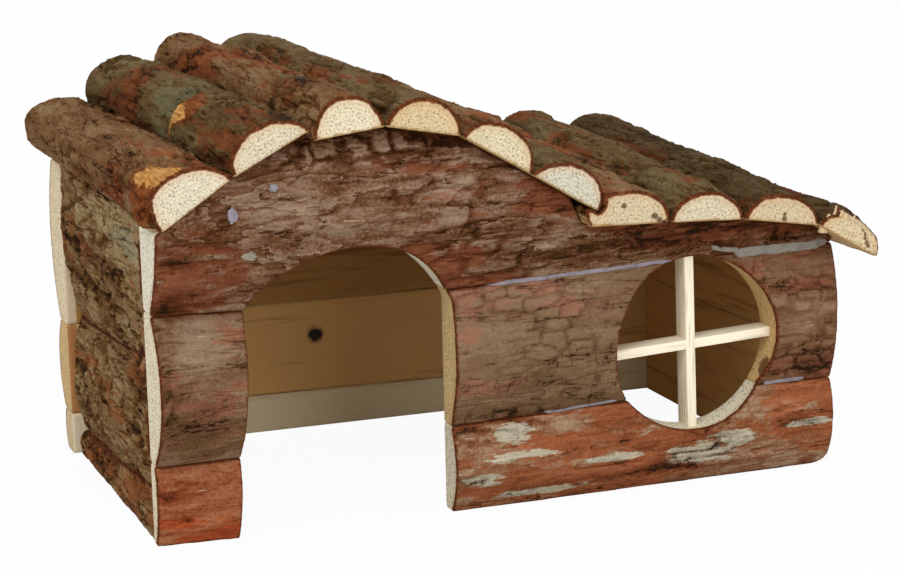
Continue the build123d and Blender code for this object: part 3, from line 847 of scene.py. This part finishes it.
class HOUSE_OT_glue(bpy.types.Operator):
    """Glue squeezed out of the front wall's joints"""
    bl_idname = "pet_house.glue"
    bl_label = "Glue"

    def execute(self, context):
        glue = context.scene.pet_house.glue
        glues = {"milky": glue_material("milky_hot_glue", tuple(glue.milky)),
                 "dusty": glue_material("dusty_hot_glue", tuple(glue.dusty))}
        joined = bmesh.new()
        for node in sorted(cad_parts):
            if node.startswith("front") and node.endswith("board"):
                joined.from_mesh(bpy.data.objects[node + "_bark"].data)
        surface = BVHTree.FromBMesh(joined)
        joined.free()
        for number, (start, end, width, kind) in enumerate(GLUE_LINES, start=1):
            shape = bmesh.new()
            steps = int((end[0] - start[0]) / GLUE_STEP)
            bmesh.ops.create_grid(shape, x_segments=steps, y_segments=6, size=0.5)
            for vert in shape.verts:
                along = vert.co.x + 0.5
                x = start[0] + (end[0] - start[0]) * along
                middle = start[1] + (end[1] - start[1]) * along
                wide = width * (1 + 0.3 * noise.noise((x / 8, number, 0)))
                wide *= smooth(0, 0.06, along) * smooth(0, 0.06, 1 - along)
                z = middle + vert.co.y * wide + 0.5 * noise.noise((x / 9, number, 5))
                hit = front_point(surface, x, z)
                lift = (GLUE_LIFT + 0.1 * noise.noise((x / 4, z / 4, number))
                        - GLUE_FALL * vert.co.y ** 2)
                y = hit.y - lift * MM if hit else GLUE_OVER_AIR * MM
                vert.co = Vector((x * MM, y, z * MM))
            for _ in range(GLUE_PASSES):
                bmesh.ops.smooth_vert(shape, verts=shape.verts, factor=0.5, use_axis_y=True)
            bmesh.ops.solidify(shape, geom=shape.faces[:], thickness=GLUE_THICK * MM)
            bmesh.ops.recalc_face_normals(shape, faces=shape.faces)
            finish_piece(shape, f"glue_line_{number}", (glues[kind],), None)
        for number, ((x, z), wide, high) in enumerate(GLUE_DABS, start=1):
            hit = front_point(surface, x, z)
            shape = bmesh.new()
            bmesh.ops.create_icosphere(shape, subdivisions=4, radius=1)
            half = Vector((wide / 2, DAB_THICK / 2, high / 2))
            for vert in shape.verts:
                bumpy = 1 + 0.25 * noise.noise(vert.co * 1.7 + Vector((number, 0, 0)))
                vert.co = hit + vert.co * half * bumpy * MM
            finish_piece(shape, f"glue_dab_{number}", (glues["milky"],), None)
        return {"FINISHED"}


# Splinters at the torn end: foot, tip and width, in millimetres.
SPLINTERS = (
    ((115.2, -99.8, 97.5), (116.3, -101.2, 104.0), 2.8),
    ((113.2, -99.6, 96.0), (113.2, -101.0, 101.0), 3.4),
    ((117.7, -99.8, 97.4), (118.8, -101.2, 102.0), 3.2),
    ((120.3, -99.8, 96.8), (120.4, -101.2, 100.6), 3.6),
    ((122.9, -99.6, 96.0), (124.0, -101.0, 99.6), 3.2),
    ((111.4, -99.4, 94.2), (110.5, -101.0, 98.4), 3.2),
)


class HOUSE_OT_splinters(bpy.types.Operator):
    """Splinters standing at the torn front end of the last half log"""
    bl_idname = "pet_house.splinters"
    bl_label = "Splinters"

    def execute(self, context):
        material = lath_material("torn_pine_splinters", linear(TORN_WOOD), 2)
        shape = bmesh.new()
        for number, (foot, tip, width) in enumerate(SPLINTERS):
            foot = Vector(foot)
            run = Vector(tip) - foot
            thorn = bmesh.new()
            bmesh.ops.create_cone(thorn, segments=7, radius1=width / 2, radius2=width / 7,
                                  depth=run.length, cap_ends=True)
            upright = [edge for edge in thorn.edges
                       if abs(edge.verts[0].co.z - edge.verts[1].co.z) > 0.5 * run.length]
            bmesh.ops.subdivide_edges(thorn, edges=upright, cuts=5)
            turn = run.to_track_quat("Z", "Y").to_matrix()
            # Flattened, a little bent and jagged along its sides.
            for vert in thorn.verts:
                bend = 0.5 * noise.noise((vert.co.z * 0.6, number, 3))
                flat = Vector((vert.co.x * 1.2 + bend, vert.co.y * 0.5, vert.co.z))
                flat.x += 0.35 * noise.noise((vert.co.z * 1.9, number, 8))
                vert.co = (foot + run / 2 + turn @ flat) * MM
            mesh = bpy.data.meshes.new("splinter")
            thorn.to_mesh(mesh)
            thorn.free()
            shape.from_mesh(mesh)
            bpy.data.meshes.remove(mesh)
        bmesh.ops.recalc_face_normals(shape, faces=shape.faces)
        finish_piece(shape, "torn_splinters", (material,), "bark_log")
        return {"FINISHED"}


class HOUSE_OT_brads(bpy.types.Operator):
    """Steel of the hidden brads"""
    bl_idname = "pet_house.brads"
    bl_label = "Brads"

    def execute(self, context):
        material, tree = blank_material("drawn_steel_brads")
        place = put(tree, "TexCoord").outputs["Object"]
        marks = put(tree, "TexNoise", {"Vector": place, "Scale": METRE / 0.5, "Detail": 2})
        shade = put(tree, "ValToRGB", {0: marks.outputs[0]},
                    stops=((0.3, linear("8b8d90")), (0.7, linear("b9babc")))).outputs[0]
        surface = put(tree, "BsdfPrincipled", {"Base Color": shade, "Metallic": 1.0,
                                               "Roughness": 0.35})
        put(tree, "OutputMaterial", {0: surface.outputs[0]})
        for node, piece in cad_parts.items():
            if node.endswith("brads"):
                piece.data.materials.clear()
                piece.data.materials.append(material)
        return {"FINISHED"}


# Lamps: their settings, places and sizes, in metres.
LAMPS = (("key", (-0.7, -1.0, 1.3), 0.8), ("fill", (0.3, -1.5, 0.6), 0.9),
         ("back", (0.5, 1.4, 0.9), 0.9))
LIT = Vector((0, 0, 0.08))      # what the lamps point at
LOOKED_AT = Vector((-0.02425, -0.07139, 0.08175))   # what the camera points at
NEAREST = 0.05                  # the nearest that the camera sees, in metres
FILM = 36                       # its film's width, in millimetres
FLOOR_HALF = 4                  # half the floor's side, in metres
FLOOR_WHITE = 0.95              # how plain white it looks; the rest shows the shadow


class HOUSE_OT_stage(bpy.types.Operator):
    """Floor, lamps, sky and camera"""
    bl_idname = "pet_house.stage"
    bl_label = "Stage"

    def execute(self, context):
        stage = context.scene.pet_house.stage
        shape = bmesh.new()
        bmesh.ops.create_grid(shape, x_segments=1, y_segments=1, size=FLOOR_HALF)
        mesh = bpy.data.meshes.new("floor")
        shape.to_mesh(mesh)
        shape.free()
        floor = bpy.data.objects.new("floor", mesh)
        context.scene.collection.objects.link(floor)
        material, tree = blank_material("white_paper_floor")
        seen = put(tree, "LightPath").outputs["Is Camera Ray"]
        paper = put(tree, "BsdfDiffuse", {0: tuple(stage.floor)}).outputs[0]
        white = put(tree, "Emission", {0: WHITE, 1: 1.0}).outputs[0]
        lift = put(tree, "Math", {0: seen, 1: FLOOR_WHITE}, operation="MULTIPLY").outputs[0]
        mixed = put(tree, "MixShader", {0: lift, 1: paper, 2: white}).outputs[0]
        put(tree, "OutputMaterial", {0: mixed})
        mesh.materials.append(material)

        world = bpy.data.worlds.new("studio")
        world.use_nodes = True
        tree = world.node_tree
        tree.nodes.clear()
        path = put(tree, "LightPath").outputs
        direct = put(tree, "Math", {0: path["Is Camera Ray"], 1: path["Is Glossy Ray"]},
                     operation="MAXIMUM").outputs[0]
        level = put(tree, "MapRange", {0: direct, 3: stage.sky, 4: 1.0}).outputs[0]
        sky = put(tree, "Background", {0: WHITE, 1: level}).outputs[0]
        put(tree, "OutputWorld", {0: sky})
        context.scene.world = world

        for name, place, size in LAMPS:
            lamp = bpy.data.lights.new(name, "AREA")
            lamp.energy = getattr(stage, name)
            lamp.size = size
            holder = bpy.data.objects.new(name, lamp)
            holder.location = place
            holder.rotation_euler = (LIT - Vector(place)).to_track_quat("-Z", "Y").to_euler()
            context.scene.collection.objects.link(holder)

        camera = bpy.data.cameras.new("camera")
        camera.lens = stage.lens
        camera.sensor_width = FILM
        camera.clip_start = NEAREST
        holder = bpy.data.objects.new("camera", camera)
        turn = (Matrix.Rotation(-stage.turn, 4, "Z")
                @ Matrix.Rotation(math.pi / 2 - stage.tilt, 4, "X")
                @ Matrix.Rotation(stage.roll, 4, "Z"))
        holder.matrix_world = (Matrix.Translation(LOOKED_AT) @ turn
                               @ Matrix.Translation((0, 0, stage.distance)))
        context.scene.collection.objects.link(holder)
        context.scene.camera = holder
        context.scene.view_settings.view_transform = "Standard"
        return {"FINISHED"}


class HOUSE_PT_panel(bpy.types.Panel):
    """Lists the house's parts and settings."""
    bl_label = "Pet house"
    bl_idname = "HOUSE_PT_panel"
    bl_space_type = "VIEW_3D"
    bl_region_type = "UI"
    bl_category = "Pet house"

    def draw(self, context):
        settings = context.scene.pet_house
        for group in (settings.bark, settings.wood, settings.glue, settings.stage):
            box = self.layout.box()
            box.label(text=group.bl_rna.description)
            for name in group.__annotations__:
                box.prop(group, name)
        for operator in OPERATORS:
            self.layout.operator(operator.bl_idname)


OPERATORS = (HOUSE_OT_front_wall, HOUSE_OT_back_wall, HOUSE_OT_side_walls, HOUSE_OT_roof,
             HOUSE_OT_window_cross, HOUSE_OT_glue, HOUSE_OT_splinters, HOUSE_OT_brads,
             HOUSE_OT_stage)
CLASSES = (BarkSettings, WoodSettings, GlueSettings, StageSettings, HouseSettings,
           *OPERATORS, HOUSE_PT_panel)


def register():
    for kind in CLASSES:
        bpy.utils.register_class(kind)
    bpy.types.Scene.pet_house = PointerProperty(type=HouseSettings)


def unregister():
    del bpy.types.Scene.pet_house
    for kind in reversed(CLASSES):
        bpy.utils.unregister_class(kind)


def main():
    register()
    noise.seed_set(SEED)
    for operator in OPERATORS:
        group, name = operator.bl_idname.split(".")
        getattr(getattr(bpy.ops, group), name)()


if __name__ == "__main__":
    main()
